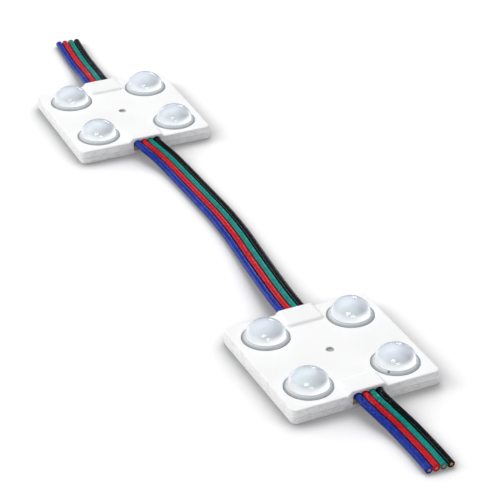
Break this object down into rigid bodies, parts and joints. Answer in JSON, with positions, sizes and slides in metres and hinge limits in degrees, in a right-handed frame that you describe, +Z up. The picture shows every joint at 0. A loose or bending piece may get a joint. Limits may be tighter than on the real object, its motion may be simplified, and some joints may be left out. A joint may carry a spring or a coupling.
{
  "type": "rgb led module chain",
  "caption": "Square white light modules with domed clear lenses, joined by a flat cable of coloured wires with short leads at the ends.",
  "frame": {"origin": "middle of module_1's back, on the surface that its tape sticks to", "axes": "+X along the cable away from module_2, +Z up out of the lenses"},
  "size_m": [0.2232, 0.0389, 0.0078],
  "materials": {
    "housing": "satin moulded white",
    "board": "white solder mask on fibreglass, with bare edges",
    "tape": "foam tape under a paper liner",
    "led_package": "white package with a clear resin well",
    "clear_lens": "clear moulded acrylic",
    "resistor": "black ceramic with tinned ends",
    "solder": "bright solder",
    "blue_insulation": "satin extruded insulation",
    "red_insulation": "satin extruded insulation",
    "green_insulation": "satin extruded insulation",
    "black_insulation": "satin extruded insulation"
  },
  "bodies": {
    "root": {"front_lead_wire_black": "black_insulation", "front_lead_wire_blue": "blue_insulation", "front_lead_wire_green": "green_insulation", "front_lead_wire_red": "red_insulation", "link_wire_black": "black_insulation", "link_wire_blue": "blue_insulation", "link_wire_green": "green_insulation", "link_wire_red": "red_insulation", "module_1_adhesive_pad": "tape", "module_1_base_tray": "housing", "module_1_circuit_board": "board", "module_1_led_1": "led_package", "module_1_led_2": "led_package", "module_1_led_3": "led_package", "module_1_led_4": "led_package", "module_1_lens_1": "clear_lens", "module_1_lens_2": "clear_lens", "module_1_lens_3": "clear_lens", "module_1_lens_4": "clear_lens", "module_1_resistor_1": "resistor", "module_1_resistor_2": "resistor", "module_1_resistor_3": "resistor", "module_1_solder_front_black": "solder", "module_1_solder_front_blue": "solder", "module_1_solder_front_green": "solder", "module_1_solder_front_red": "solder", "module_1_solder_rear_black": "solder", "module_1_solder_rear_blue": "solder", "module_1_solder_rear_green": "solder", "module_1_solder_rear_red": "solder", "module_1_top_cover": "housing", "module_2_adhesive_pad": "tape", "module_2_base_tray": "housing", "module_2_circuit_board": "board", "module_2_led_1": "led_package", "module_2_led_2": "led_package", "module_2_led_3": "led_package", "module_2_led_4": "led_package", "module_2_lens_1": "clear_lens", "module_2_lens_2": "clear_lens", "module_2_lens_3": "clear_lens", "module_2_lens_4": "clear_lens", "module_2_resistor_1": "resistor", "module_2_resistor_2": "resistor", "module_2_resistor_3": "resistor", "module_2_solder_front_black": "solder", "module_2_solder_front_blue": "solder", "module_2_solder_front_green": "solder", "module_2_solder_front_red": "solder", "module_2_solder_rear_black": "solder", "module_2_solder_rear_blue": "solder", "module_2_solder_rear_green": "solder", "module_2_solder_rear_red": "solder", "module_2_top_cover": "housing", "rear_lead_wire_black": "black_insulation", "rear_lead_wire_blue": "blue_insulation", "rear_lead_wire_green": "green_insulation", "rear_lead_wire_red": "red_insulation"}
  },
  "joints": []
}
